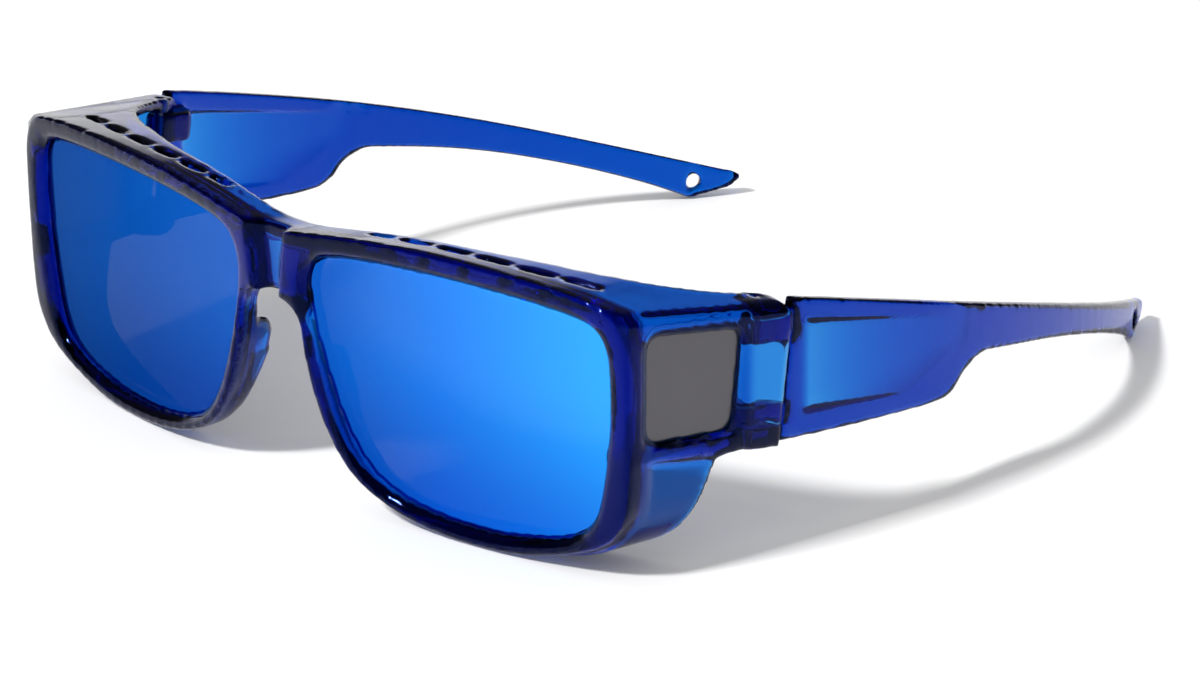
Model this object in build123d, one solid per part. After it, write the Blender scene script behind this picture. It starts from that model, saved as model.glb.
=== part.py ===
from build123d import *
import os

os.makedirs("parts", exist_ok=True)

# Fitover sunglasses. X runs across (the wearer's left is +X), the front looks to -Y,
# the temples run to +Y, and the object rests on Z = 0 on both rims and both tips.
# One half is drawn for +X and mirrored.

# Overall sizes
rim_side = 72.9            # centre plane to the outer edge of a rim
rim_height = 49.0          # lowest to highest point of the front outline
arm_aft = 35.9             # lens surface beside the nose to the end face of the arm
temple_length = 127.4      # hinge axis to the aft end of the temple's plan curve
overrun = 3 * temple_length  # longer than the object, for every through cut

# Visible lens, across as shares of the rim side and up of the rim height
lens_width_share = 0.8176
lens_start_share = 0.1166  # centre plane to the visible nose edge
lens_height_share = 0.8490
lens_low_share = 0.0633    # rest plane to the visible bottom edge
lens_visible_width = rim_side * lens_width_share
lens_visible_height = rim_height * lens_height_share
lens_start = rim_side * lens_start_share
lens_low = rim_height * lens_low_share

# Sweep of the front, seen from above
front_start = -5.9         # lens surface at the centre plane
front_end = 5.1            # lens surface at the outer edge of the rim
front_bulge = 1.15         # how far the lens surface swells ahead of its chord
front_margin_share = 0.12  # how far the swept surfaces run past the rim
front_tilt = 2.0           # degrees, the rim bottoms lie further back
tilt_height = 23.0

# Rim section, measured from the lens surface, ahead is negative
rim_ahead = 2.0
body_ahead = 1.1
rim_behind = 2.9
rim_bevel = 0.8
rim_edge_bevel_share = 0.0055
lens_bevel_share = 0.0233  # slope from the front face into the lens opening
rim_edge_bevel = rim_side * rim_edge_bevel_share
lens_bevel = rim_side * lens_bevel_share
lens_thickness = 1.8
lens_hidden = 0.8          # lens edge held in the groove
lens_play = 0.12

# Walls behind the rims
wall = 1.9
skirt_wall = 1.7
side_wall = 2.3
top_slope_share = 0.14     # fall of the top wall for each length to the rear
skirt_top_share = 0.4204
skirt_top = rim_height * skirt_top_share
skirt_step = 0.35          # the wall behind a rim stands this far inside the rim edge
skirt_root = 8.0           # aft place where the outward lean starts
skirt_lean_share = 0.30    # the rear edge moves aft by this for each length up
skirt_lean_height = 13.0
flange_top_share = 0.5469
flange_across_share = 0.2881
flange_top = rim_height * flange_top_share
flange_across = rim_side * flange_across_share
nose_flange_depth = 6.4    # behind the lens surface

# Flared side wall
side_step = 0.5            # outer face at Y = 0 to the outer edge of the rim
side_flare_share = 0.140   # outward for each length to the rear
side_start = rim_side - side_step

shoulder_size = 1.6        # slanted edge between the top wall and the side face

# Arch and bridge
arch_share = 0.7020
arch_height = rim_height * arch_share
trough_top_half = 4.9
trough_low_half = 3.2
trough_slant = 1.6
trough_floor = -5.6
trough_front = -14.0

# Hinge, axis leaning to the rear at the top
hinge_inside = 1.4         # hinge axis to the outer edge of the rim
hinge_before_end = 5.3     # hinge axis to the end face of the arm
hinge_height_share = 0.5980
hinge_across = rim_side - hinge_inside
hinge_aft = arm_aft - hinge_before_end
hinge_height = rim_height * hinge_height_share
hinge_lean = 6.9
hinge_boss = 2.4
pin_radius = 0.7
pin_play = 0.04
pin_end_play = 0.3
pin_foot = 0.3             # pin end to the open face of the temple lug
upper_lug_low_share = 0.1061   # heights along the axis from the hinge point
upper_lug_high_share = 0.2122
upper_pin_top_share = 0.2571
lower_lug_low_share = -0.1673
lower_lug_high_share = -0.1061
lower_pin_low_share = -0.2224
upper_lug_low = rim_height * upper_lug_low_share
upper_lug_high = rim_height * upper_lug_high_share
upper_pin_top = rim_height * upper_pin_top_share
lower_lug_low = rim_height * lower_lug_low_share
lower_lug_high = rim_height * lower_lug_high_share
lower_pin_low = rim_height * lower_pin_low_share
lug_gap = 0.2
frame_lug_depth = 3.2
skin = 1.3                 # outer wall of the arm beside the hinge
pocket_reach = 2.8         # front of the pocket to the hinge axis
end_face_outside = 4.6     # outer edge of the rim to a point on the end face of the arm
end_face_up = 10.8         # hinge point to the same point
end_gap = 0.2
pocket_front = hinge_aft - pocket_reach
end_face_across = rim_side + end_face_outside
end_face_height = hinge_height + end_face_up

# Side window
window_recess = 0.6
window_lip = 0.6
side_lens_thickness = 1.05
side_lens_hidden = 0.8
side_lens_play = 0.1
window_round = 2.0
bezel_round = 2.6

# Floor of the arm
floor_inside = 1.9         # inner edge of the floor to the outer edge of the rim
arm_tip_inside = 0.3
floor_inner = rim_side - floor_inside
arm_tip_inner = rim_side - arm_tip_inside

# Vent slots
slot_length = 5.9
slot_short_length = 4.6
slot_width = 1.2
slot_depth = 6.0

# Temples
temple_thickness = 2.8
panel_depth = 1.2
panel_start_share = 0.0706 # along the temple length
panel_end_share = 0.3799
lanyard_radius = 1.5
lanyard_share = 0.9246     # along the temple length
lanyard_height_share = 0.0694
lanyard_height = rim_height * lanyard_height_share
lug_reach = 7.8
lug_side = 2.3
lug_join = 4.6

# Outlines, as shares of the visible lens, from its nose edge and its bottom edge
lens_shares = [
    (0.560, 0.000), (0.475, 0.004), (0.405, 0.014), (0.340, 0.030), (0.290, 0.050),
    (0.245, 0.076), (0.205, 0.110), (0.170, 0.155), (0.138, 0.215), (0.108, 0.286),
    (0.067, 0.425), (0.038, 0.545), (0.016, 0.660), (0.003, 0.755), (0.000, 0.830),
    (0.008, 0.885), (0.027, 0.928), (0.065, 0.956), (0.133, 0.975), (0.235, 0.989),
    (0.338, 0.996), (0.471, 1.000), (0.603, 0.998), (0.709, 0.993), (0.827, 0.982),
    (0.915, 0.967), (0.962, 0.942), (0.986, 0.898), (0.997, 0.830), (1.000, 0.720),
    (0.996, 0.560), (0.984, 0.420), (0.969, 0.300), (0.953, 0.210), (0.934, 0.153),
    (0.903, 0.108), (0.861, 0.073), (0.810, 0.048), (0.743, 0.028), (0.655, 0.008),
]
# Nose side and bottom of a rim, as shares of the rim side and rim height
rim_shares = [
    (0.020, 0.702), (0.040, 0.700), (0.062, 0.692), (0.083, 0.668), (0.096, 0.635),
    (0.105, 0.560), (0.120, 0.446), (0.148, 0.322), (0.170, 0.256), (0.192, 0.204),
    (0.220, 0.155), (0.254, 0.112), (0.302, 0.074), (0.356, 0.043), (0.420, 0.020),
    (0.500, 0.005), (0.575, 0.000), (0.650, 0.004), (0.725, 0.019), (0.805, 0.050),
    (0.872, 0.084), (0.921, 0.122), (0.957, 0.173), (0.981, 0.235), (0.993, 0.318),
    (1.000, 0.520), (1.000, 0.740), (0.994, 0.840), (0.977, 0.908), (0.945, 0.955),
]
# Top line of the front, as shares of the rim side and rim height
top_shares = [
    (0.000, 0.925), (0.070, 0.930), (0.145, 0.946), (0.230, 0.963), (0.340, 0.980),
    (0.420, 0.989), (0.520, 0.994), (0.640, 0.995), (0.750, 0.991), (0.830, 0.985),
    (0.900, 0.973), (0.960, 0.959), (1.030, 0.951), (1.120, 0.948),
]
# Rear edge of the top wall, across as shares of the rim side and aft of the arm
rear_edge_shares = [
    (0.000, 0.0203), (0.070, 0.0244), (0.145, 0.0366), (0.270, 0.0812),
    (0.390, 0.1218), (0.500, 0.1706), (0.585, 0.2274), (0.650, 0.2843),
    (0.720, 0.3411), (0.775, 0.4061), (0.832, 0.4874), (0.885, 0.6031),
    (0.912, 0.6864), (0.952, 0.8630), (0.992, 1.0397),
]
# Rear edge of the bottom wall, across as shares of the rim side and aft of the arm
skirt_edge_shares = [
    (0.000, 0.0203), (0.150, 0.0244), (0.280, 0.0914), (0.400, 0.1625),
    (0.520, 0.2538), (0.640, 0.3452), (0.760, 0.4305), (0.870, 0.4975),
    (0.950, 0.5320), (1.100, 0.6092),
]
# Outer side and bottom of the wall behind a rim, as shares of the rim side and rim height
skirt_shares = [
    (0.083, 0.690), (0.096, 0.635),
    (0.105, 0.560), (0.120, 0.446), (0.148, 0.322), (0.170, 0.256), (0.192, 0.204),
    (0.220, 0.155), (0.254, 0.112), (0.302, 0.074), (0.356, 0.043), (0.420, 0.020),
    (0.500, 0.007), (0.575, 0.003), (0.650, 0.005), (0.730, 0.014), (0.810, 0.030),
    (0.870, 0.052), (0.920, 0.088), (0.955, 0.140), (0.978, 0.215), (0.990, 0.310),
    (0.997, 0.480), (0.997, 0.640),
]
skirt_flare_share = 0.16   # outward for each length to the rear, on the outer half only
# Fall of the arm's top edge near the hinge, aft as shares of the arm and up of the rim height
droop_shares = [
    (0.6006, 0.962), (0.7097, 0.925), (0.8053, 0.905), (0.8872, 0.880),
    (0.9554, 0.845), (1.0100, 0.805), (1.0783, 0.735),
]
droop_slant_share = 0.24

# Lower edge of the side wall and arm, aft as shares of the arm and up of the rim height
side_low_shares = [
    (-0.1365, 0.440), (0.1338, 0.428), (0.5623, 0.388), (0.5705, 0.376),
    (0.7439, 0.378), (0.8599, 0.366), (1.0373, 0.366),
]

# Side window and its bezel, aft as shares of the way to the hinge pocket and up of the rim height
window_shares = [
    (0.2589, 0.4980), (0.8418, 0.4694), (0.9065, 0.8000), (0.2589, 0.8490),
]
bezel_shares = [
    (0.1978, 0.4653), (0.9137, 0.4286), (0.9569, 0.7939), (0.1978, 0.8653),
]

# Slot centres, across as shares of the rim side and aft of the arm, and their turns in degrees
slot_shares = [
    (0.8038, 0.1838), (0.6955, 0.1198), (0.5844, 0.0697), (0.4774, 0.0335),
    (0.3717, 0.0097), (0.2702, 0.0000),
]
slot_turns = [17.0, 14.0, 10.5, 7.5, 4.5, 2.0]

# Outer face of a temple seen from above, across as shares of the rim side, aft of the temple length
temple_plan_shares = [
    (1.0466, 0.0109), (1.0535, 0.0738), (1.0604, 0.1523), (1.0631, 0.2307),
    (1.0590, 0.3485), (1.0357, 0.4662), (0.9918, 0.5840), (0.9273, 0.7017),
    (0.8409, 0.8194), (0.7353, 0.9372), (0.6722, 1.0000),
]
# Side outline of a temple, aft as shares of the temple length and up of the rim height
temple_top_shares = [
    (-0.0047, 0.8857), (0.0746, 0.8367), (0.1649, 0.7735), (0.2582, 0.7061),
    (0.3587, 0.6306), (0.4733, 0.5408), (0.6098, 0.4265), (0.7920, 0.2612),
    (0.9655, 0.1000),
]
temple_tip_shares = [
    (0.9655, 0.1000), (0.9788, 0.0755), (0.9733, 0.0531), (0.9467, 0.0224),
    (0.9144, 0.0000),
]
temple_low_rear_shares = [
    (0.9144, 0.0000), (0.8666, 0.0633), (0.8194, 0.1163), (0.7371, 0.1980),
    (0.6664, 0.2592), (0.5840, 0.3204), (0.5016, 0.3694), (0.4388, 0.4020),
]
temple_ramp_shares = [
    (0.4388, 0.4020), (0.4035, 0.4082), (0.3658, 0.3653),
]
temple_corner_shares = [
    (0.3658, 0.3653), (0.3446, 0.3184), (0.3250, 0.3061),
]
temple_low_front_shares = [
    (0.3250, 0.3061), (0.2858, 0.3082), (0.2347, 0.3184), (0.1468, 0.3367),
    (0.0298, 0.3633), (-0.0047, 0.3714),
]
# Recessed panel of a temple, aft as shares of the temple length and up of the rim height
panel_shares = [
    (0.0706, 0.7612), (0.1208, 0.7388), (0.1915, 0.6939), (0.2778, 0.6388),
    (0.3799, 0.5898), (0.3877, 0.4898), (0.3407, 0.3980), (0.3132, 0.3510),
    (0.2622, 0.3531), (0.1680, 0.3939), (0.0706, 0.4367),
]


def upright(face):
    """Sweep an outline drawn across and up straight fore and aft."""
    return extrude(Plane.XZ * face, amount=overrun, both=True)


def sideways(face):
    """Sweep an outline drawn aft and up straight across."""
    return extrude(Plane.YZ * face, amount=overrun, both=True)


def vertical(face):
    """Sweep an outline drawn across and aft straight up and down."""
    return extrude(face, amount=overrun, both=True)


def leaning(drawn, direction):
    """Sweep a placed outline both ways along a leaning direction."""
    start = Pos(Vector(direction) * -overrun) * drawn
    return extrude(start, amount=2 * overrun, dir=direction)


def scaled(shares, width, height):
    """Turn pairs of shares into lengths."""
    return [(a * width, b * height) for a, b in shares]


def temple_aft(share):
    """Aft place at a share of the temple length from the hinge axis."""
    return hinge_aft + share * temple_length


def temple_plan():
    """Points of the temple's outer face seen from above."""
    return [(a * rim_side, temple_aft(b)) for a, b in temple_plan_shares]


def temple_outline(shares):
    """Points of an outline on the temple's side."""
    return [(temple_aft(a), b * rim_height) for a, b in shares]


def band(ahead, behind):
    """Solid between two swept surfaces, given by their distances from the lens surface."""
    margin = rim_side * front_margin_share
    slope = (front_end - front_start) / rim_side
    first = front_start - slope * margin
    last = front_end + slope * margin
    middle = (front_start + front_end) / 2 - front_bulge
    near = ThreePointArc((-margin, first + ahead), (rim_side / 2, middle + ahead),
                         (rim_side + margin, last + ahead))
    far = ThreePointArc((-margin, first + behind), (rim_side / 2, middle + behind),
                        (rim_side + margin, last + behind))
    ends = [Line(near @ 0, far @ 0), Line(near @ 1, far @ 1)]
    block = vertical(make_face([near, far] + ends))
    return Pos(0, 0, tilt_height) * Rot(front_tilt, 0, 0) * block


def lens_face(grow):
    """Lens outline, wider on every side by the length given."""
    width = lens_visible_width + 2 * grow
    height = lens_visible_height + 2 * grow
    points = [(lens_start - grow + a * width, lens_low - grow + b * height) for a, b in lens_shares]
    return make_face(Spline(*points, periodic=True))


def rim_face():
    """Closed half outline of the front: nose side, bottom and outer side, open above."""
    curve = Spline(*scaled(rim_shares, rim_side, rim_height))
    top = rim_height + wall
    start = curve @ 0
    end = curve @ 1
    return make_face([curve, Line(end, (end.X, top)), Line((end.X, top), (-rim_bevel, top)),
                      Line((-rim_bevel, top), (-rim_bevel, start.Y)), Line((-rim_bevel, start.Y), start)])


def under_top(lower):
    """Everything below the top wall's outer surface, lowered by the length given."""
    points = [(a, b - lower) for a, b in scaled(top_shares, rim_side, rim_height)]
    line = Spline(*points)
    left = (line @ 0).X
    right = (line @ 1).X
    low = Line((right, -rim_height), (left, -rim_height))
    face = make_face([line, Line(line @ 1, low @ 0), low, Line(low @ 1, line @ 0)])
    return leaning(Plane.XZ * face, (0, 1, -top_slope_share)) - droop(lower)


def droop(lower):
    """Space above the arm's falling top edge."""
    points = [(a, b - lower) for a, b in scaled(droop_shares, arm_aft, rim_height)]
    line = Spline(*points)
    high = 2 * rim_height
    above = Line(((line @ 1).X, high), ((line @ 0).X, high))
    face = make_face([line, Line(line @ 1, above @ 0), above, Line(above @ 1, line @ 0)])
    return leaning(Pos(end_face_across, 0, 0) * (Plane.YZ * face), (1, 0, -droop_slant_share))


def side_line(aft):
    """Place across of the flared side face at an aft place."""
    return side_start + side_flare_share * aft


def side_slab(depth, start, end):
    """Slab inside the flared side face, from its outer face to the depth given."""
    outer = [(side_line(start), start), (side_line(end), end)]
    inner = [(side_line(end) - depth, end), (side_line(start) - depth, start)]
    return vertical(make_face(Polyline(*outer, *inner, close=True)))


def side_box(near, far, face):
    """Outline on the flared side face, swept inwards from one depth to another."""
    start = -rim_side / 2
    end = rim_side
    outer = [(side_line(start) - near, start), (side_line(end) - near, end)]
    inner = [(side_line(end) - far, end), (side_line(start) - far, start)]
    slab = vertical(make_face(Polyline(*outer, *inner, close=True)))
    return slab & sideways(face)


def inside_side():
    """Everything on the centre side of the flared side face."""
    start = -rim_side
    end = rim_side
    return vertical(make_face(Polyline((side_line(start), start), (side_line(end), end),
                                       (-rim_side, end), (-rim_side, start), close=True)))


def hinge_plane():
    """Plane square to the hinge axis through the hinge point."""
    return Plane(origin=(hinge_across, hinge_aft, hinge_height), x_dir=(1, 0, 0),
                 z_dir=Vector(0, 0, 1).rotate(Axis.X, -hinge_lean))


def end_plane(gap):
    """Leaning end face of the arm, pointing to the rear."""
    along = Vector(side_flare_share, 1, 0).normalized().rotate(Axis.X, -hinge_lean)
    origin = Vector(end_face_across, arm_aft, end_face_height) + along * gap
    return Plane(origin=origin, x_dir=hinge_plane().z_dir, z_dir=along)


def rounded(shares, radius, grow):
    """Outline with round corners on the side face, wider on every side by the length given."""
    face = make_face(Polyline(*scaled(shares, pocket_front, rim_height), close=True))
    if grow > 0:
        face = offset(face, amount=grow, kind=Kind.INTERSECTION)
    return fillet(face.vertices(), radius)


def rim_plate():
    """Front rim with the bridge web and the lens opening, bevelled along its front edges."""
    plate = upright(rim_face()) & band(-rim_ahead, rim_behind) & under_top(0)
    plate -= upright(lens_face(0))
    front = plate.faces().sort_by(Axis.Y)
    front = [face for face in front if face.geom_type == GeomType.CYLINDER]
    front = min(front, key=lambda face: face.center().Y)
    hole = front.inner_wires()[0].edges()
    plate = chamfer(hole, lens_bevel)
    front = [face for face in plate.faces() if face.geom_type == GeomType.CYLINDER]
    front = min(front, key=lambda face: face.center().Y)
    rim = [edge for edge in front.outer_wire().edges() if edge.center().X > rim_bevel]
    half_way = lens_low + lens_visible_height / 2
    return chamfer([edge for edge in rim if edge.center().Z < half_way], rim_edge_bevel)


def skirt_outline(inset):
    """Outline of the wall behind the rim, drawn in by the length given, open far above."""
    curve = Spline(*scaled(skirt_shares, rim_side, rim_height))
    count = len(skirt_shares)
    points = []
    for i in range(count):
        spot = curve.position_at(i / (count - 1))
        run = curve.tangent_at(i / (count - 1))
        points.append((spot.X - run.Y * inset, spot.Y + run.X * inset))
    inner = Spline(*points)
    first = inner @ 0
    last = inner @ 1
    high = rim_height + inset
    return make_face([inner, Line(last, (last.X, high)), Line((last.X, high), (first.X, high)),
                      Line((first.X, high), first)])


def shoulder():
    """Wedge above the slanted top edge of the side face."""
    across = side_line(0)
    up = top_shares[-2][1] * rim_height
    far = 2 * shoulder_size
    face = make_face(Polyline((across - shoulder_size - far, up + far),
                              (across + far, up - shoulder_size - far),
                              (across + 2 * far, up + 2 * far), close=True))
    return leaning(Plane.XZ * face, (side_flare_share, 1, -top_slope_share))


def flared(face):
    """Sweep an upright outline to the rear while it leans outward."""
    return leaning(Pos(0, skirt_root, 0) * (Plane.XZ * face), (skirt_flare_share, 1, 0))


def bottom_ring():
    """Wall behind the rim: nose flange, bottom and lower outer side."""
    outline = skirt_outline(skirt_step)
    inset = skirt_outline(skirt_step + skirt_wall)
    middle = rim_side * (lens_start / rim_side + 1) / 2
    outside = Pos(middle + overrun / 2, 0, 0) * Box(overrun, overrun, overrun)
    inside = Pos(middle - overrun / 2, 0, 0) * Box(overrun, overrun, overrun)
    shell = (flared(outline) - flared(inset)) & outside
    shell += (upright(outline) - upright(inset)) & inside
    edge = Spline(*scaled(skirt_edge_shares, rim_side, arm_aft))
    front = -rim_height
    reach = [edge, Line(edge @ 1, ((edge @ 1).X, front)), Line(((edge @ 1).X, front), (0, front)),
             Line((0, front), edge @ 0)]
    plan = leaning(Pos(0, 0, skirt_lean_height) * make_face(reach), (0, skirt_lean_share, 1))
    shell = shell & plan & band(0, overrun / 4)
    outer = sideways(make_face(Polyline((-rim_height, -rim_height), (rim_height, -rim_height),
                                        (rim_height, skirt_top), (-rim_height, skirt_top), close=True)))
    flange = Pos(flange_across / 2, 0, flange_top - rim_height / 2) * Box(flange_across, overrun, rim_height)
    near_nose = shell & flange & band(0, nose_flange_depth)
    return (shell & outer) + near_nose


def top_wall():
    """Top wall from the front edge to its rear edge, running into the arm."""
    edge = Spline(*scaled(rear_edge_shares, rim_side, arm_aft))
    front = -rim_height
    far = (edge @ 1).Y
    outside = rim_side + rim_height
    plan = make_face([edge, Line(edge @ 1, (outside, far)), Line((outside, far), (outside, front)),
                      Line((outside, front), (0, front)), Line((0, front), edge @ 0)])
    wall_block = vertical(plan) & inside_side() & band(-body_ahead, overrun / 4)
    return wall_block & (under_top(0) - under_top(wall))


def side_panel():
    """Flared side wall and the floor of the arm below it."""
    low = Polyline(*scaled(side_low_shares, arm_aft, rim_height))
    high = rim_height + wall
    face = make_face([low, Line(low @ 1, ((low @ 1).X, high)), Line(((low @ 1).X, high), ((low @ 0).X, high)),
                      Line(((low @ 0).X, high), low @ 0)])
    plate = side_slab(side_wall, -rim_height / 2, rim_height) & sideways(face)
    upper = Pos(0, wall) * low
    floor_face = make_face([low, Line(low @ 1, upper @ 1), upper, Line(upper @ 0, low @ 0)])
    floor = side_slab(side_wall + side_flare_share * rim_height, -rim_height / 2, rim_height)
    floor = floor & sideways(floor_face)
    return (plate + floor) & band(-body_ahead, overrun / 4)


def arm_inside():
    """Plan region outside the inner edge of the arm, rounded about the hinge."""
    aft = hinge_aft
    left = hinge_across - hinge_boss
    points = [(floor_inner, -rim_height), (floor_inner, aft - 2 * hinge_boss), (left, aft - hinge_boss / 2),
              (left, aft + hinge_boss / 2), (arm_tip_inner, arm_aft + hinge_boss),
              (rim_side + rim_height, arm_aft + hinge_boss), (rim_side + rim_height, -rim_height)]
    return vertical(make_face(Polyline(*points, close=True)))


def frame_lug(low, high):
    """Solid block between two heights along the hinge axis, from the hinge to the side wall."""
    face = Circle(hinge_boss) + Pos(hinge_boss, 0) * Rectangle(2 * hinge_boss, 2 * hinge_boss)
    face += Pos(3 * hinge_boss / 2, hinge_boss) * Rectangle(3 * hinge_boss, 4 * hinge_boss)
    block = extrude(hinge_plane().offset(low) * face, amount=high - low)
    return block & inside_side() & arm_inside()


def hinge_pocket():
    """Space between the frame lugs for the temple lugs."""
    start = side_line(pocket_front) - skin
    end = side_line(rim_height) - skin
    points = [(floor_inner - 2 * hinge_boss, pocket_front), (start, pocket_front), (end, rim_height),
              (floor_inner - 2 * hinge_boss, rim_height)]
    block = vertical(make_face(Polyline(*points, close=True)))
    low = lower_lug_low - lug_gap
    high = upper_lug_high + lug_gap
    layer = extrude(hinge_plane().offset(low) * Rectangle(rim_side * 2, rim_side * 2), amount=high - low)
    return block & layer


def trough():
    """Recess between the creases of the bridge, narrowing downward."""
    def section(half, height):
        points = [(-half - trough_slant, trough_front), (-half, front_start - rim_ahead - rim_bevel),
                  (trough_slant - half, trough_floor), (half - trough_slant, trough_floor),
                  (half, front_start - rim_ahead - rim_bevel), (half + trough_slant, trough_front)]
        return Pos(0, 0, height) * make_face(Polyline(*points, close=True))
    return loft([section(trough_top_half, rim_height), section(trough_low_half, arch_height)])


def slots():
    """Cutters for the row of vent slots, the innermost one shorter."""
    cuts = []
    places = scaled(slot_shares, rim_side, arm_aft)
    for (across, aft), turn in zip(places, slot_turns):
        length = slot_length if turn > slot_turns[-1] else slot_short_length
        face = Pos(across, aft) * Rot(0, 0, turn) * Rectangle(length, slot_width)
        cuts.append(Pos(0, 0, rim_height - slot_depth) * extrude(face, amount=2 * slot_depth))
    return cuts


def front_half():
    """Right half of the front, cut at the centre plane."""
    body = rim_plate() + bottom_ring() + top_wall()
    body += side_panel() & (arm_inside() + band(-rim_ahead, rim_behind))
    body += frame_lug(upper_lug_high + lug_gap, upper_lug_high + lug_gap + frame_lug_depth)
    body += frame_lug(lower_lug_low - lug_gap - frame_lug_depth, lower_lug_low - lug_gap)
    body &= under_top(0)
    body -= shoulder()
    body -= trough()
    body -= upright(lens_face(0))
    body -= upright(lens_face(lens_hidden + lens_play)) & band(-lens_play, lens_thickness + lens_play)
    body -= side_box(-wall, window_recess, rounded(bezel_shares, bezel_round, 0))
    body -= side_box(-wall, side_wall + lens_play, rounded(window_shares, window_round, 0))
    seat_round = window_round + side_lens_hidden
    seat = rounded(window_shares, seat_round, side_lens_hidden + side_lens_play)
    body -= side_box(window_recess + window_lip, side_wall + lens_play, seat)
    for cut in slots():
        body -= cut
    body -= hinge_pocket()
    half_space = extrude(end_plane(0) * Rectangle(overrun, overrun), amount=overrun)
    body -= half_space
    for low, high in pin_spans():
        body -= extrude(hinge_plane().offset(low) * Circle(pin_radius + pin_play), amount=high - low)
    body &= Pos(overrun / 2, 0, 0) * Box(overrun, overrun, overrun)
    return body


def pin_spans():
    """Heights of both pin holes along the hinge axis."""
    return [(upper_lug_low, upper_pin_top + pin_end_play), (lower_pin_low - pin_end_play, lower_lug_high)]


def front_frame():
    half = front_half()
    return half + mirror(half, about=Plane.YZ)


def lens():
    """Left front lens with its edge hidden in the groove."""
    return upright(lens_face(lens_hidden)) & band(0, lens_thickness)


def side_lens():
    """Left side lens with its edge hidden behind the lip."""
    start = window_recess + window_lip
    face = rounded(window_shares, window_round + side_lens_hidden, side_lens_hidden)
    return side_box(start, start + side_lens_thickness, face)


def pins():
    """Both hinge pins of the left side."""
    shapes = []
    for low, high in [(upper_lug_low + pin_foot, upper_pin_top), (lower_pin_low, lower_lug_high - pin_foot)]:
        shapes.append(extrude(hinge_plane().offset(low) * Circle(pin_radius), amount=high - low))
    return shapes


def temple_band(near, far):
    """Solid between two plan curves drawn in from the outer face of the temple."""
    outer = Spline(*temple_plan())
    inner = Pos(-far, 0) * outer
    outer = Pos(-near, 0) * outer
    return vertical(make_face([outer, Line(outer @ 1, inner @ 1), inner, Line(inner @ 0, outer @ 0)]))


def temple_side():
    """Side outline of a temple, swept across."""
    tables = [temple_top_shares, temple_tip_shares, temple_low_rear_shares, temple_ramp_shares,
              temple_corner_shares, temple_low_front_shares]
    curves = [Spline(*temple_outline(table)) for table in tables]
    return sideways(make_face(curves + [Line(curves[-1] @ 1, curves[0] @ 0)]))


def temple_lug(low, high):
    """Hinge lug of the temple between two heights along the hinge axis."""
    rear = lug_reach
    face = Circle(lug_side)
    points = [(-lug_side, 0), (lug_side, 0), (lug_side, rear - lug_side), (lug_join, rear - lug_side / 2),
              (lug_join, rear), (0, rear), (-lug_side, rear - lug_side)]
    face += make_face(Polyline(*points, close=True))
    return extrude(hinge_plane().offset(low) * face, amount=high - low)


def temple():
    """Left temple with its two hinge lugs, the recessed panel and the lanyard hole."""
    body = temple_band(0, temple_thickness) & temple_side()
    body -= extrude(end_plane(end_gap) * Rectangle(overrun, overrun), amount=-overrun)
    panel = make_face(Polyline(*temple_outline(panel_shares), close=True))
    body -= panel_wedge() & sideways(panel)
    body += temple_lug(upper_lug_low, upper_lug_high) & temple_allow()
    body += temple_lug(lower_lug_low, lower_lug_high) & temple_allow()
    hole = hinge_plane()
    for low, high in [(upper_lug_low, upper_lug_high), (lower_lug_low, lower_lug_high)]:
        body -= extrude(hole.offset(low) * Circle(pin_radius + pin_play), amount=high - low)
    body -= lanyard_hole()
    return body


def temple_allow():
    """Keeps the lugs inside the outer face of the temple."""
    place = Pos(hinge_across - rim_height / 2 + lug_side + lug_gap, hinge_aft)
    around_hinge = vertical(place * Rectangle(rim_height, rim_height / 4))
    return temple_band(temple_thickness / 2, overrun / 2) + around_hinge


def panel_wedge():
    """Recess in the inner face, deepest at the hinge end and running out to the rear."""
    inner = [(a - temple_thickness, b) for a, b in temple_plan()]
    start = temple_aft(panel_start_share)
    end = temple_aft(panel_end_share)
    deep = inner[1][0] + panel_depth
    aside = inner[0][0] - 2 * temple_thickness
    return vertical(make_face(Polyline((aside, inner[0][1]), (deep, inner[0][1]), (deep, start),
                                       (inner[4][0], end), (aside, end), close=True)))


def lanyard_hole():
    """Cutter square to the temple at the aft place of the lanyard hole."""
    plan = Spline(*temple_plan())
    steps = 200
    aft = temple_aft(lanyard_share)
    nearest = min(range(steps + 1), key=lambda i: abs(plan.position_at(i / steps).Y - aft))
    here = plan.position_at(nearest / steps)
    heading = plan.tangent_at(nearest / steps)
    plane = Plane(origin=(here.X, here.Y, lanyard_height), z_dir=Vector(heading.Y, -heading.X, 0))
    return extrude(plane * Circle(lanyard_radius), amount=3 * temple_thickness, both=True)


def both(shape):
    """The left shape and its mirror image."""
    return shape, mirror(shape, about=Plane.YZ)


def main():
    parts = {}
    parts["front_frame"] = front_frame()
    parts["lens_left"], parts["lens_right"] = both(lens())
    parts["side_lens_left"], parts["side_lens_right"] = both(side_lens())
    parts["temple_left"], parts["temple_right"] = both(temple())
    for name, pin in zip(("upper", "lower"), pins()):
        parts["hinge_pin_" + name + "_left"], parts["hinge_pin_" + name + "_right"] = both(pin)
    boxes = [shape.bounding_box() for shape in parts.values()]
    first = min(box.min.Y for box in boxes)
    last = max(box.max.Y for box in boxes)
    low = min(box.min.Z for box in boxes)
    shift = Pos(0, -(first + last) / 2, -low)
    print("shift", -(first + last) / 2, -low)
    for name, shape in parts.items():
        placed = shift * shape
        print(name, round(placed.volume, 1), len(placed.solids()), placed.is_valid)
        export_step(placed, "parts/" + name + ".step")


main()
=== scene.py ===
"""Fitover sunglasses: clear blue mouldings, mirrored lenses, pins, studio and camera.

Everything is in metres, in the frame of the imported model. X runs across to the
wearer's left, the lenses look to -Y and the glasses rest on Z = 0.
"""

import logging
import math
from dataclasses import dataclass
from enum import Enum
from typing import Any, Dict, Iterable, List, Optional, Sequence, Tuple, Union

import bmesh
import bpy
from mathutils import Matrix, Vector


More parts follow.
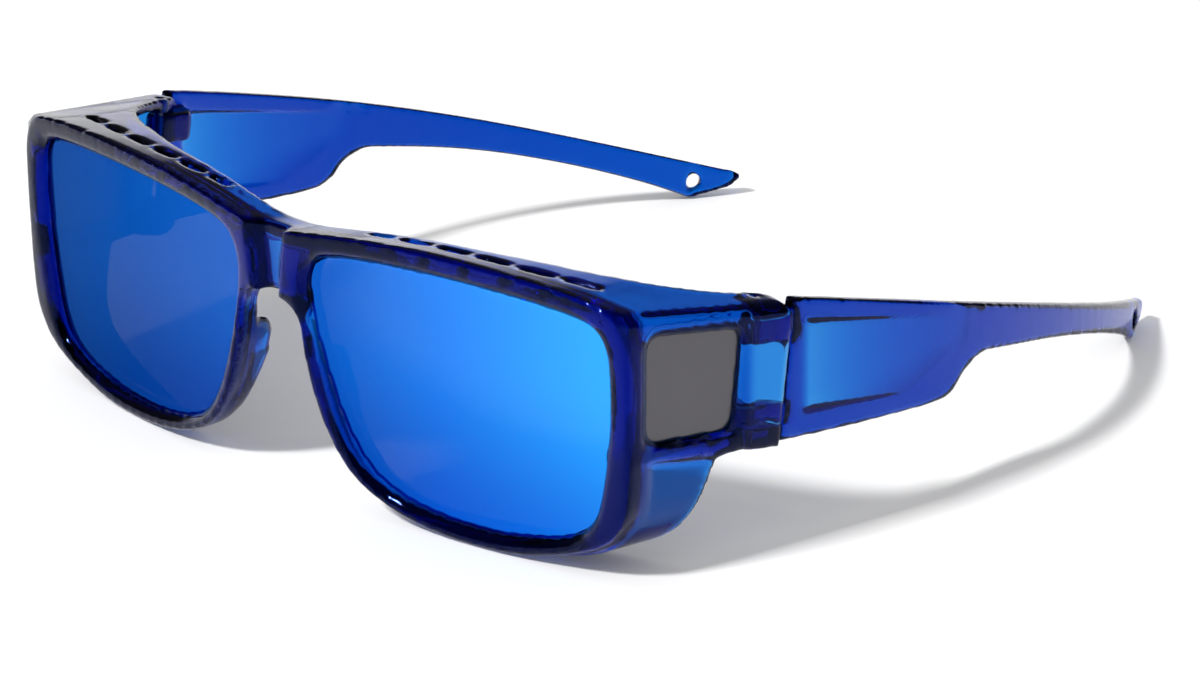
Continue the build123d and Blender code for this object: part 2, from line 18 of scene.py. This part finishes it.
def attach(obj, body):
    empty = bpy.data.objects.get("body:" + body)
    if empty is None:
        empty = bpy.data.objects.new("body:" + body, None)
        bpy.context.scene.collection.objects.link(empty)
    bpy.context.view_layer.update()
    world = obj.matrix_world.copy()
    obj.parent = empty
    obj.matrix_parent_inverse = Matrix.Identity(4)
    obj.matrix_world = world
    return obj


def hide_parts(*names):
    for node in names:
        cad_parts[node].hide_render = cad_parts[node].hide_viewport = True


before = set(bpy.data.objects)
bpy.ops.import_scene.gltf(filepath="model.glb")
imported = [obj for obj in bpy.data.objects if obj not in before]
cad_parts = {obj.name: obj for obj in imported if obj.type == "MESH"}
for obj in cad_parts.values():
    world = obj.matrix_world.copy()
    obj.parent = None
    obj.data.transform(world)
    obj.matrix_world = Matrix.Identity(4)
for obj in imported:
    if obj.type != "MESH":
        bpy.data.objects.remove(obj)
LOG = logging.getLogger("fitover_sunglasses")
MM = 0.001
WELD_MM = 0.002
SMOOTH_FACTOR = 0.5
WHITE = "#FFFFFF"


def srgb(code: str) -> Tuple[float, float, float, float]:
    """Turn an sRGB hex colour into a linear colour.

    Args:
        code: Six hex digits with a leading hash sign.

    Returns:
        Linear red, green and blue, and an alpha of 1.
    """
    values = []
    for start in (1, 3, 5):
        part = int(code[start:start + 2], 16) / 255.0
        low = part <= 0.04045
        values.append(part / 12.92 if low else ((part + 0.055) / 1.055) ** 2.4)
    return (values[0], values[1], values[2], 1.0)


def add_node(tree: bpy.types.NodeTree, kind: str, settings: Optional[Dict[str, Any]] = None,
             inputs: Optional[Dict[Union[str, int], Any]] = None) -> bpy.types.Node:
    """Add one node with its settings, values and links.

    Args:
        tree: Node tree that gets the node.
        kind: Node type name.
        settings: Attributes of the node itself.
        inputs: Socket name or number to a plain value, or to the output socket that feeds it.

    Returns:
        The new node.
    """
    node = tree.nodes.new(kind)
    for name, value in (settings or {}).items():
        setattr(node, name, value)
    for name, value in (inputs or {}).items():
        socket = node.inputs[name]
        if isinstance(value, bpy.types.NodeSocket):
            tree.links.new(value, socket)
        else:
            socket.default_value = value
    return node


def new_material(name: str) -> Tuple[bpy.types.Material, bpy.types.NodeTree]:
    """Make an empty node material.

    Args:
        name: Name of the material.

    Returns:
        The material and its cleared node tree.
    """
    material = bpy.data.materials.new(name)
    material.use_nodes = True
    material.node_tree.nodes.clear()
    return material, material.node_tree


def seen_directly(tree: bpy.types.NodeTree) -> bpy.types.NodeSocket:
    """Give 1 for camera, glossy and transmission rays and 0 for all others.

    Args:
        tree: Node tree that gets the nodes.

    Returns:
        Output socket with the value.
    """
    path = add_node(tree, "ShaderNodeLightPath")
    first = add_node(tree, "ShaderNodeMath", {"operation": "MAXIMUM"}, {
        0: path.outputs["Is Camera Ray"], 1: path.outputs["Is Glossy Ray"]})
    second = add_node(tree, "ShaderNodeMath", {"operation": "MAXIMUM"}, {
        0: first.outputs["Value"], 1: path.outputs["Is Transmission Ray"]})
    return second.outputs["Value"]


class Side(Enum):
    """Halves of the glasses, named by the wearer."""

    LEFT = "left"
    RIGHT = "right"

    @property
    def sign(self) -> float:
        """Direction of the half along X."""
        return 1.0 if self is Side.LEFT else -1.0


@dataclass(frozen=True)
class ClearBluePolycarbonate:
    """Injection moulded, dyed polycarbonate: bright where thin, nearly black in its thick edges.

    The polished skin has faint flow ripples, and its gloss changes a little over a centimetre.
    """

    name: str = "clear_blue_polycarbonate"
    surface: str = "#F6F8FF"
    dye: str = "#05D2F3"
    dye_per_metre: float = 2900.0
    refraction: float = 1.54
    gloss_tint: str = "#5068C8"
    polish: float = 0.03
    haze_ratio: float = 2.5
    haze_mm: float = 11.0
    haze_range: Tuple[float, float] = (0.35, 0.75)
    ripple_mm: float = 7.0
    ripple_height_mm: float = 0.012
    ripple_strength: float = 0.6

    def build(self) -> bpy.types.Material:
        """Make the material: a clear polished skin over a light-absorbing body.

        Returns:
            The material.
        """
        material, tree = new_material(self.name)
        place = add_node(tree, "ShaderNodeTexCoord")
        flow = add_node(tree, "ShaderNodeTexNoise", inputs={
            "Vector": place.outputs["Object"], "Scale": 1.0 / (self.ripple_mm * MM),
            "Detail": 1.0})
        haze = add_node(tree, "ShaderNodeTexNoise", inputs={
            "Vector": place.outputs["Object"], "Scale": 1.0 / (self.haze_mm * MM),
            "Detail": 3.0})
        rough = add_node(tree, "ShaderNodeMapRange", inputs={
            "Value": haze.outputs["Fac"], "From Min": self.haze_range[0],
            "From Max": self.haze_range[1], "To Min": self.polish,
            "To Max": self.polish * self.haze_ratio})
        bump = add_node(tree, "ShaderNodeBump", inputs={
            "Height": flow.outputs["Fac"], "Distance": self.ripple_height_mm * MM,
            "Strength": self.ripple_strength})
        skin = add_node(tree, "ShaderNodeBsdfPrincipled", inputs={
            "Base Color": srgb(self.surface), "Roughness": rough.outputs["Result"],
            "IOR": self.refraction, "Specular Tint": srgb(self.gloss_tint),
            "Transmission Weight": 1.0, "Normal": bump.outputs["Normal"]})
        body = add_node(tree, "ShaderNodeVolumeAbsorption", inputs={
            "Color": srgb(self.dye), "Density": self.dye_per_metre})
        add_node(tree, "ShaderNodeOutputMaterial", inputs={
            "Surface": skin.outputs["BSDF"], "Volume": body.outputs["Volume"]})
        return material


@dataclass(frozen=True)
class BlueMirrorCoat:
    """Vacuum-deposited flash mirror on a dark lens: a blue metal film, hardly see-through.

    Painted reflection: the film's blue is painted to run from deep blue at the wearer's right to
    light cyan blue at the left, standing in for how each lens reflects its surroundings at its
    own angle. Painted shade: it is painted darker low down, standing in for darker reflections
    there. Its colour wanders by a few millimetres, as such films do.
    """

    name: str = "blue_mirror_coat"
    # Colours of the coat across both lenses; their drift from deep blue to light cyan is painted
    # reflection.
    stops: Tuple[Tuple[float, str], ...] = (
        (0.0, "#1A3A88"), (0.22, "#0446A4"), (0.46, "#0C58BC"), (0.60, "#0C56BC"),
        (0.78, "#107CEA"), (1.0, "#1EA4FF"))
    glance_tint: str = "#C0E2FF"
    # Painted shade: colour that the coat is multiplied by low down, standing in for darker
    # reflections there.
    painted_low_shade: str = "#B4B8D8"
    low_mm: float = 2.0
    high_mm: float = 34.0
    half_span_mm: float = 68.0
    cloud_mm: float = 28.0
    drift_mm: float = 5.0
    cover: float = 0.96
    roughness: float = 0.07

    def build(self) -> bpy.types.Material:
        """Make the material: a blue metal film with painted reflection across both lenses and
        painted shade low down.

        Returns:
            The material.
        """
        material, tree = new_material(self.name)
        place = add_node(tree, "ShaderNodeTexCoord")
        cloud = add_node(tree, "ShaderNodeTexNoise", inputs={
            "Vector": place.outputs["Object"], "Scale": 1.0 / (self.cloud_mm * MM),
            "Detail": 2.0})
        split = add_node(tree, "ShaderNodeSeparateXYZ", inputs={"Vector": place.outputs["Object"]})
        drift = add_node(tree, "ShaderNodeMath", {"operation": "MULTIPLY_ADD"}, {
            0: cloud.outputs["Fac"], 1: self.drift_mm * MM, 2: split.outputs["X"]})
        across = add_node(tree, "ShaderNodeMapRange", inputs={
            "Value": drift.outputs["Value"], "From Min": -self.half_span_mm * MM,
            "From Max": self.half_span_mm * MM})
        # Painted reflection: this ramp paints each lens's reflection as a blue drift across both
        # lenses.
        film = add_node(tree, "ShaderNodeValToRGB", inputs={"Fac": across.outputs["Result"]})
        ramp = film.color_ramp
        while len(ramp.elements) < len(self.stops):
            ramp.elements.new(0.5)
        for element, (position, colour) in zip(ramp.elements, self.stops):
            element.position = position
            element.color = srgb(colour)
        # Painted shade: the coat is darkened towards the bottom of the lenses, up to high_mm.
        height = add_node(tree, "ShaderNodeMapRange", {"interpolation_type": "SMOOTHSTEP"}, {
            "Value": split.outputs["Z"], "From Min": self.low_mm * MM,
            "From Max": self.high_mm * MM})
        painted_shade_mix = add_node(tree, "ShaderNodeMix", {"data_type": "RGBA"}, {
            0: height.outputs["Result"], 6: srgb(self.painted_low_shade), 7: srgb(WHITE)})
        deep = add_node(tree, "ShaderNodeMix", {"data_type": "RGBA", "blend_type": "MULTIPLY"}, {
            0: 1.0, 6: film.outputs["Color"], 7: painted_shade_mix.outputs[2]})
        coat = add_node(tree, "ShaderNodeBsdfPrincipled", inputs={
            "Base Color": deep.outputs[2], "Metallic": 1.0, "Roughness": self.roughness,
            "Specular Tint": srgb(self.glance_tint), "Alpha": self.cover})
        add_node(tree, "ShaderNodeOutputMaterial", inputs={"Surface": coat.outputs["BSDF"]})
        return material


@dataclass(frozen=True)
class SmokeLens:
    """Cast grey polarising sheet: neutral, glossy and partly see-through."""

    name: str
    tint: str = "#26242A"
    cover: float = 0.35
    refraction: float = 1.5
    cloud_mm: float = 14.0
    gloss_range: Tuple[float, float] = (0.05, 0.11)

    def build(self) -> bpy.types.Material:
        """Make the material: a grey sheet whose gloss changes faintly.

        Returns:
            The material.
        """
        material, tree = new_material(self.name)
        place = add_node(tree, "ShaderNodeTexCoord")
        cloud = add_node(tree, "ShaderNodeTexNoise", inputs={
            "Vector": place.outputs["Object"], "Scale": 1.0 / (self.cloud_mm * MM),
            "Detail": 2.0})
        rough = add_node(tree, "ShaderNodeMapRange", inputs={
            "Value": cloud.outputs["Fac"], "To Min": self.gloss_range[0],
            "To Max": self.gloss_range[1]})
        sheet = add_node(tree, "ShaderNodeBsdfPrincipled", inputs={
            "Base Color": srgb(self.tint), "Roughness": rough.outputs["Result"],
            "IOR": self.refraction, "Alpha": self.cover})
        add_node(tree, "ShaderNodeOutputMaterial", inputs={"Surface": sheet.outputs["BSDF"]})
        return material


@dataclass(frozen=True)
class DrawnSteel:
    """Drawn stainless wire cut to pins: fine lines along the pin and a soft sheen."""

    name: str = "drawn_steel_pin"
    colour: str = "#B9BBC0"
    line_mm: float = 0.15
    line_stretch: float = 0.05
    gloss_range: Tuple[float, float] = (0.2, 0.42)

    def build(self) -> bpy.types.Material:
        """Make the material: grey metal with fine drawing lines.

        Returns:
            The material.
        """
        material, tree = new_material(self.name)
        place = add_node(tree, "ShaderNodeTexCoord")
        stretch = add_node(tree, "ShaderNodeMapping", inputs={
            "Vector": place.outputs["Object"], "Scale": (1.0, 1.0, self.line_stretch)})
        lines = add_node(tree, "ShaderNodeTexNoise", inputs={
            "Vector": stretch.outputs["Vector"], "Scale": 1.0 / (self.line_mm * MM),
            "Detail": 2.0})
        rough = add_node(tree, "ShaderNodeMapRange", inputs={
            "Value": lines.outputs["Fac"], "To Min": self.gloss_range[0],
            "To Max": self.gloss_range[1]})
        metal = add_node(tree, "ShaderNodeBsdfPrincipled", inputs={
            "Base Color": srgb(self.colour), "Metallic": 1.0,
            "Roughness": rough.outputs["Result"]})
        add_node(tree, "ShaderNodeOutputMaterial", inputs={"Surface": metal.outputs["BSDF"]})
        return material


@dataclass(frozen=True)
class StudioWhite:
    """White sheet of card under the glasses: matt, and pure white where nothing shades it."""

    name: str = "studio_white"
    card: str = "#F0F0F0"
    glow: float = 0.05

    def build(self) -> bpy.types.Material:
        """Make the material: matt white with a faint glow that lights nothing else.

        Returns:
            The material.
        """
        material, tree = new_material(self.name)
        lift = add_node(tree, "ShaderNodeMath", {"operation": "MULTIPLY"}, {
            0: seen_directly(tree), 1: self.glow})
        card = add_node(tree, "ShaderNodeBsdfDiffuse", inputs={"Color": srgb(self.card)})
        glow = add_node(tree, "ShaderNodeEmission", inputs={"Strength": lift.outputs["Value"]})
        both = add_node(tree, "ShaderNodeAddShader", inputs={
            0: card.outputs["BSDF"], 1: glow.outputs["Emission"]})
        add_node(tree, "ShaderNodeOutputMaterial", inputs={"Surface": both.outputs["Shader"]})
        return material


def merged_copy(node: str, name: str) -> bpy.types.Object:
    """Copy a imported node's mesh into a new object with its loose triangles joined.

    Args:
        node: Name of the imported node.
        name: Name of the new object.

    Returns:
        The new object, at the origin.
    """
    mesh = bpy.data.meshes.new(name)
    form = bmesh.new()
    form.from_mesh(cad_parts[node].data)
    bmesh.ops.remove_doubles(form, verts=form.verts, dist=WELD_MM * MM)
    form.to_mesh(mesh)
    form.free()
    mesh.materials.clear()
    piece = bpy.data.objects.new(name, mesh)
    bpy.context.scene.collection.objects.link(piece)
    return piece


def smooth(form: bmesh.types.BMesh, verts: Iterable[bmesh.types.BMVert], passes: int) -> None:
    """Smooth some points of a mesh.

    Args:
        form: The mesh.
        verts: The points that move.
        passes: Rounds of smoothing.
    """
    for _ in range(passes):
        bmesh.ops.smooth_vert(form, verts=verts, factor=SMOOTH_FACTOR, use_axis_x=True,
                              use_axis_y=True, use_axis_z=True)


def smooth_fading(form: bmesh.types.BMesh, depths: Dict[bmesh.types.BMVert, float],
                  passes: int) -> None:
    """Smooth a region of a mesh, less and less towards its border.

    Args:
        form: The mesh.
        depths: Depth of each point inside the region, from 0 at its border to 1 or more.
        passes: Rounds of smoothing where the depth is 1 or more.
    """
    for number in range(passes):
        smooth(form, [vert for vert, depth in depths.items() if depth > number / passes], 1)


def soften_edges(piece: bpy.types.Object, grain_mm: float, passes: int) -> None:
    """Give a closed piece an even skin whose edges have the small radius of a moulding.

    Args:
        piece: The piece, one closed mesh.
        grain_mm: Size of the new faces, near the radius of the edges.
        passes: Rounds of smoothing along the edges.
    """
    skin = piece.modifiers.new("even_skin", "REMESH")
    skin.mode = "VOXEL"
    skin.voxel_size = grain_mm * MM
    skin.use_smooth_shade = True
    graph = bpy.context.evaluated_depsgraph_get()
    mesh = bpy.data.meshes.new_from_object(piece.evaluated_get(graph))
    piece.modifiers.clear()
    form = bmesh.new()
    form.from_mesh(mesh)
    smooth(form, form.verts, passes)
    form.to_mesh(piece.data)
    form.free()
    bpy.data.meshes.remove(mesh)


def inside_depth(along: float, up: float, corners: Sequence[Sequence[float]]) -> float:
    """Tell how far a point lies inside an outline.

    Args:
        along: First place of the point.
        up: Second place of the point.
        corners: Corners of the outline, in order.

    Returns:
        Distance to the nearest side, or zero for a point outside.
    """
    point = Vector((along, up))
    inside = False
    nearest = math.inf
    for number, corner in enumerate(corners):
        start = Vector(corner)
        end = Vector(corners[(number + 1) % len(corners)])
        share = (point - start).dot(end - start) / (end - start).length_squared
        foot = start.lerp(end, min(max(share, 0.0), 1.0))
        nearest = min(nearest, (point - foot).length)
        crosses = (start.y > up) != (end.y > up)
        if crosses and along < start.x + (up - start.y) * (end.x - start.x) / (end.y - start.y):
            inside = not inside
    return nearest if inside else 0.0


def between(places: Sequence[Tuple[float, float]], value: float) -> float:
    """Read a table of places and factors, in straight lines between its rows.

    Args:
        places: Rows of a place and its factor, in rising order.
        value: The place that is looked up.

    Returns:
        The factor there.
    """
    for (low, first), (high, second) in zip(places, places[1:]):
        if low <= value <= high:
            return first + (second - first) * (value - low) / (high - low)
    return places[-1][1]


@dataclass
class Moulding:
    """One clear blue moulding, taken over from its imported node."""

    node: str
    body: str
    slot: str = "frame_plastic"
    grain_mm: float = 0.4
    passes: int = 12

    def build(self, finish: bpy.types.Material) -> bpy.types.Object:
        """Build the moulding and put it in place of its node.

        Args:
            finish: Material of the moulding.

        Returns:
            The new piece.
        """
        piece = merged_copy(self.node, self.node + "_moulding")
        soften_edges(piece, self.grain_mm, self.passes)
        piece.data.materials.append(finish)
        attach(piece, self.body)
        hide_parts(self.node)
        return piece


@dataclass
class FrontMoulding(Moulding):
    """Front moulding whose nose flanges are faired to smooth fins with a round top.

    The flanges' box runs from flange_low to flange_high, in millimetres from the middle
    plane outwards, along Y and up. fade_mm is the width of its soft border. A row of
    depth_factors is a height in millimetres and what the flange's depth is multiplied by.
    """

    node: str = "front_frame"
    body: str = "front"
    grain_mm: float = 0.425
    passes: int = 11
    flange_low: Tuple[float, float, float] = (4.0, -76.2, 9.0)
    flange_high: Tuple[float, float, float] = (17.0, -46.0, 34.0)
    fade_mm: Tuple[float, float, float] = (1.5, 3.0, 9.0)
    flange_passes: int = 60
    root_mm: float = -76.0
    depth_factors: Tuple[Tuple[float, float], ...] = (
        (20.0, 1.0), (21.0, 1.21), (22.0, 1.33), (23.0, 1.39), (24.0, 1.39), (25.0, 1.23),
        (26.0, 1.0), (26.9, 0.55))
    last_passes: int = 6

    def build(self, finish: bpy.types.Material) -> bpy.types.Object:
        """Build the front, then fair its nose flanges.

        Args:
            finish: Material of the moulding.

        Returns:
            The new piece.
        """
        piece = super().build(finish)
        form = bmesh.new()
        form.from_mesh(piece.data)
        depths = self.flange_depths(form)
        smooth_fading(form, depths, self.flange_passes)
        root = self.root_mm * MM
        lowest, highest = self.depth_factors[0][0] * MM, self.depth_factors[-1][0] * MM
        upper = [vert for vert in depths if vert.co.y > root and lowest < vert.co.z < highest]
        for vert in upper:
            vert.co.y = root + (vert.co.y - root) * between(self.depth_factors, vert.co.z / MM)
        smooth(form, upper, self.last_passes)
        form.to_mesh(piece.data)
        form.free()
        return piece

    def flange_depths(self, form: bmesh.types.BMesh) -> Dict[bmesh.types.BMVert, float]:
        """Find the points of both nose flanges.

        Args:
            form: Mesh of the front.

        Returns:
            Each point with its depth inside the flanges' box, over 1 past the soft border.
        """
        low = Vector(self.flange_low) * MM
        high = Vector(self.flange_high) * MM
        depths = {}
        for vert in form.verts:
            place = (abs(vert.co.x), vert.co.y, vert.co.z)
            inside = min(min(place[axis] - low[axis], high[axis] - place[axis]) / (fade * MM)
                         for axis, fade in enumerate(self.fade_mm))
            if inside > 0.0:
                depths[vert] = inside
        return depths


@dataclass
class Temple(Moulding):
    """Temple moulding whose sunk panel is deepest behind the hinge and runs out to the rear.

    Places are along Y and up, in millimetres. The panel's corner at rear_corner is where its
    rear end turns. Below it the panel runs out earlier, by slant for each millimetre down.
    """

    side: Side = Side.LEFT
    panel: Tuple[Tuple[float, float], ...] = (
        (-33.4, 37.0), (-27.4, 36.0), (-18.4, 34.0), (-7.4, 31.4), (5.6, 28.6),
        (6.6, 24.4), (0.6, 19.8), (-2.9, 17.9), (-9.4, 18.0), (-21.4, 19.8), (-33.4, 21.8))
    rear_corner: int = 5
    slant: float = 2.5
    deeper_mm: float = 0.4
    swell: float = 4.0
    edge_mm: float = 0.6
    inner_face: float = 0.4
    runout_mm: float = 5.0
    runout_up_mm: Tuple[float, float] = (26.2, 5.0)
    runout_depth: float = 2.0
    runout_passes: int = 50

    def build(self, finish: bpy.types.Material) -> bpy.types.Object:
        """Build the temple, deepen its panel and fair the ledge at the panel's rear end.

        Args:
            finish: Material of the moulding.

        Returns:
            The new piece.
        """
        piece = super().build(finish)
        form = bmesh.new()
        form.from_mesh(piece.data)
        form.normal_update()
        last = self.panel[self.rear_corner][0]
        middle, reach = self.runout_up_mm
        ledge = {}
        for vert in form.verts:
            if vert.normal.x * self.side.sign > -self.inner_face:
                continue
            along = vert.co.y / MM
            up = vert.co.z / MM
            vert.co.x += self.side.sign * self.extra_depth(along, up) * MM
            away = max(abs(along - last) / self.runout_mm, abs(up - middle) / reach)
            if away < 1.0:
                ledge[vert] = self.runout_depth * (1.0 - away)
        smooth_fading(form, ledge, self.runout_passes)
        form.to_mesh(piece.data)
        form.free()
        return piece

    def extra_depth(self, along: float, up: float) -> float:
        """Tell how much deeper the panel gets at one place of the inner face.

        Args:
            along: Place along Y in millimetres.
            up: Height in millimetres.

        Returns:
            Extra depth in millimetres, zero outside the panel and at its rear end.
        """
        first = self.panel[0][0]
        last, turn = self.panel[self.rear_corner]
        share = min(max(inside_depth(along, up, self.panel) / self.edge_mm, 0.0), 1.0)
        passed = along - first + self.slant * max(turn - up, 0.0)
        run = min(max(passed / (last - first), 0.0), 1.0)
        return share * self.deeper_mm * (1.0 - run) * (1.0 + self.swell * run)


@dataclass
class FrontLens:
    """Mirrored lens: coated outer face, smoke grey rear face and edge."""

    side: Side
    slot: str = "mirror_lens"
    grain_mm: float = 0.45
    passes: int = 8
    outer_face: float = 0.5

    def build(self, coat: bpy.types.Material, sheet: bpy.types.Material) -> bpy.types.Object:
        """Build the lens and put it in place of its node.

        Args:
            coat: Material of the front face.
            sheet: Material of the rear face and the edge.

        Returns:
            The new piece.
        """
        node = "lens_" + self.side.value
        piece = merged_copy(node, "mirrored_" + node)
        soften_edges(piece, self.grain_mm, self.passes)
        piece.data.materials.append(sheet)
        piece.data.materials.append(coat)
        for polygon in piece.data.polygons:
            polygon.material_index = 1 if polygon.normal.y < -self.outer_face else 0
        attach(piece, "front")
        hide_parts(node)
        return piece


@dataclass
class Studio:
    """White card floor, one soft lamp and an even surround.

    What is seen in clear plastic and in the coating is a bright wall up to wall_top, which
    fades to a dark ceiling at ceiling_start. Both are the sine of the angle of sight.
    """

    floor_size: float = 8.0
    lamp_place: Tuple[float, float, float] = (-0.30, -1.92, 2.02)
    lamp_aim: Tuple[float, float, float] = (0.0, 0.0, 0.01)
    lamp_size: float = 0.32
    lamp_power: float = 73.0
    surround: float = 0.57
    wall_top: float = 0.08
    wall_glow: float = 1.25
    ceiling_start: float = 0.26
    ceiling_glow: float = 0.06

    def build(self) -> None:
        """Make the floor, the lamp and the surround."""
        mesh = bpy.data.meshes.new("studio_floor")
        form = bmesh.new()
        bmesh.ops.create_grid(form, x_segments=1, y_segments=1, size=self.floor_size / 2)
        form.to_mesh(mesh)
        form.free()
        floor = bpy.data.objects.new("studio_floor", mesh)
        bpy.context.scene.collection.objects.link(floor)
        mesh.materials.append(StudioWhite().build())
        self.add_lamp()
        self.add_surround()

    def add_lamp(self) -> None:
        """Add the square soft lamp, aimed at the glasses."""
        lamp = bpy.data.lights.new("key_softbox", "AREA")
        lamp.shape = "SQUARE"
        lamp.size = self.lamp_size
        lamp.energy = self.lamp_power
        holder = bpy.data.objects.new("key_softbox", lamp)
        holder.location = self.lamp_place
        aim = Vector(self.lamp_aim) - Vector(self.lamp_place)
        holder.rotation_euler = aim.to_track_quat("-Z", "Y").to_euler()
        bpy.context.scene.collection.objects.link(holder)

    def add_surround(self) -> None:
        """Make the world: even white light, seen as wall and ceiling by direct rays."""
        world = bpy.data.worlds.new("surround")
        bpy.context.scene.world = world
        world.use_nodes = True
        tree = world.node_tree
        tree.nodes.clear()
        place = add_node(tree, "ShaderNodeTexCoord")
        upward = add_node(tree, "ShaderNodeVectorMath", {"operation": "DOT_PRODUCT"}, {
            0: place.outputs["Generated"], 1: (0.0, 0.0, 1.0)})
        wall = add_node(tree, "ShaderNodeMapRange", {"interpolation_type": "SMOOTHSTEP"}, {
            "Value": upward.outputs["Value"], "From Min": self.wall_top,
            "From Max": self.ceiling_start, "To Min": self.wall_glow,
            "To Max": self.ceiling_glow})
        level = add_node(tree, "ShaderNodeMix", {"data_type": "FLOAT"}, {
            0: seen_directly(tree), 2: self.surround, 3: wall.outputs["Result"]})
        sky = add_node(tree, "ShaderNodeBackground", inputs={
            "Color": srgb(WHITE), "Strength": level.outputs[0]})
        add_node(tree, "ShaderNodeOutputWorld", inputs={"Surface": sky.outputs["Background"]})


@dataclass
class PhotoCamera:
    """Long-lens camera in front, to the wearer's left and above."""

    place: Tuple[float, float, float] = (0.70759, -0.71466, 0.37847)
    azimuth_deg: float = 44.873
    elevation_deg: float = 20.354
    lens_mm: float = 185.1
    sensor_mm: float = 36.0
    nearest: float = 0.01
    farthest: float = 20.0

    def build(self) -> None:
        """Make the camera and set it as the scene's camera."""
        turn = math.radians(self.azimuth_deg)
        rise = math.radians(self.elevation_deg)
        right = Vector((math.cos(turn), math.sin(turn), 0.0))
        ahead = Vector((-math.sin(turn) * math.cos(rise), math.cos(turn) * math.cos(rise),
                        -math.sin(rise)))
        up = right.cross(ahead)
        data = bpy.data.cameras.new("photo_camera")
        data.lens = self.lens_mm
        data.sensor_width = self.sensor_mm
        data.clip_start = self.nearest
        data.clip_end = self.farthest
        camera = bpy.data.objects.new("photo_camera", data)
        basis = Matrix((right, up, -ahead)).transposed().to_4x4()
        camera.matrix_world = Matrix.Translation(Vector(self.place)) @ basis
        bpy.context.scene.collection.objects.link(camera)
        bpy.context.scene.camera = camera


@dataclass
class Glasses:
    """The whole pair: front, lenses, side windows, temples and hinge pins."""

    window_tint: str = "#4E4B54"
    window_cover: float = 0.84

    def build(self) -> None:
        """Build and dress every piece."""
        plastic = ClearBluePolycarbonate().build()
        coat = BlueMirrorCoat().build()
        lens_rear = SmokeLens("smoke_lens_rear").build()
        window = SmokeLens("smoke_side_window", self.window_tint, self.window_cover).build()
        steel = DrawnSteel().build()
        self.report(FrontMoulding().build(plastic))
        for side in Side:
            temple = Temple("temple_" + side.value, side.value + "_temple", side=side)
            self.report(temple.build(plastic))
            self.report(FrontLens(side).build(coat, lens_rear))
            self.dress("side_lens_" + side.value, window)
            for level in ("upper", "lower"):
                self.dress("hinge_pin_" + level + "_" + side.value, steel)

    def report(self, piece: bpy.types.Object) -> None:
        """Report a finished piece.

        Args:
            piece: The piece.
        """
        LOG.info("%s: %d faces", piece.name, len(piece.data.polygons))

    def dress(self, node: str, finish: bpy.types.Material) -> None:
        """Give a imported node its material.

        Args:
            node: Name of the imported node.
            finish: The material.
        """
        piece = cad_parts[node]
        piece.data.materials.clear()
        piece.data.materials.append(finish)
        LOG.info("%s: %s", node, finish.name)


def main() -> None:
    """Build the glasses, the studio and the camera."""
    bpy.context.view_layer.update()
    bpy.context.scene.view_settings.view_transform = "Standard"
    Glasses().build()
    Studio().build()
    PhotoCamera().build()


if __name__ == "__main__":
    logging.basicConfig(level=logging.INFO)
    main()
